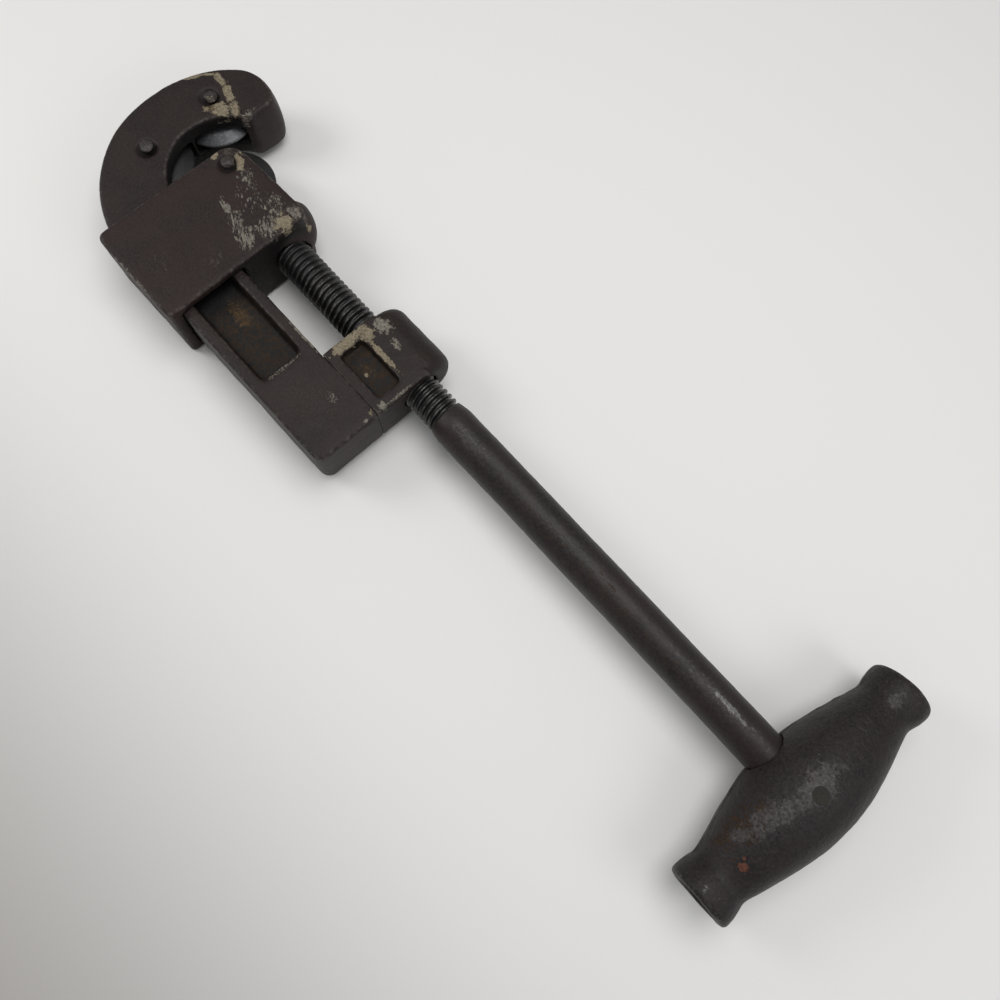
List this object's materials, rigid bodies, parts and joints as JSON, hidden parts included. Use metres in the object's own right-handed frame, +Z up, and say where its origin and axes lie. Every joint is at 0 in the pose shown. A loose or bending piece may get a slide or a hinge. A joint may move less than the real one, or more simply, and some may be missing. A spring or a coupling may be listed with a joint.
{
  "type": "pipe cutter",
  "caption": "Vintage three-wheel pipe cutter: hooked cast frame with two cutting wheels, sliding jaw with a third, threaded feed screw and cast T-handle.",
  "frame": {"origin": "on the ground under the middle of the tool's bounding box, with the tool lying flat on its side", "axes": "+X along the feed screw from the hook to the T-handle, +Y from the shank across the screw to the hook's open side, +Z up, square to the flat of the frame"},
  "size_m": [0.435, 0.1218, 0.0428],
  "materials": {
    "frame": "dark aged patina, matt",
    "nut_block": "dark aged patina with old cream paint specks",
    "jaw": "dark red-brown aged patina, matt",
    "wheel_1": "worn hardened steel",
    "wheel_2": "worn hardened steel",
    "wheel_3": "worn hardened steel",
    "wheel_pin_1": "darkened steel, hammered ends",
    "wheel_pin_2": "darkened steel, hammered ends",
    "wheel_pin_3": "darkened steel, hammered ends",
    "screw": "dark steel, brighter on the thread crests",
    "handle": "dark patina, worn grey on the swell",
    "handle_rivet": "darkened steel, ground flush",
    "screw_retainer": "darkened steel"
  },
  "bodies": {
    "frame": {"frame": "frame", "nut_block": "nut_block", "wheel_pin_1": "wheel_pin_1", "wheel_pin_2": "wheel_pin_2"},
    "jaw": {"jaw": "jaw", "wheel_pin_3": "wheel_pin_3", "screw_retainer": "screw_retainer"},
    "screw": {"screw": "screw", "handle": "handle", "handle_rivet": "handle_rivet"},
    "wheel_1": {"wheel_1": "wheel_1"},
    "wheel_2": {"wheel_2": "wheel_2"},
    "wheel_3": {"wheel_3": "wheel_3"}
  },
  "joints": [
    {"name": "jaw_slide", "type": "slide", "parent": "frame", "child": "jaw", "axis": [1, 0, 0], "range_m": [-0.002, 0.046]},
    {"name": "screw_turn", "type": "hinge", "parent": "jaw", "child": "screw", "pos_m": [-0.12717, 0.00015, 0.0214], "axis": [1, 0, 0], "range_deg": [-248, 5710]},
    {"name": "wheel_1_spin", "type": "hinge", "parent": "frame", "child": "wheel_1", "pos_m": [-0.19977, 0.02045, 0.0214], "axis": [0, 0, 1], "continuous": true},
    {"name": "wheel_2_spin", "type": "hinge", "parent": "frame", "child": "wheel_2", "pos_m": [-0.19677, -0.01715, 0.0214], "axis": [0, 0, 1], "continuous": true},
    {"name": "wheel_3_spin", "type": "hinge", "parent": "jaw", "child": "wheel_3", "pos_m": [-0.16347, 0.00415, 0.0214], "axis": [0, 0, 1], "continuous": true}
  ],
  "couplings": [
    {"joint": "jaw_slide", "follows": "screw_turn", "m_per_rad": 0.00046155}
  ]
}
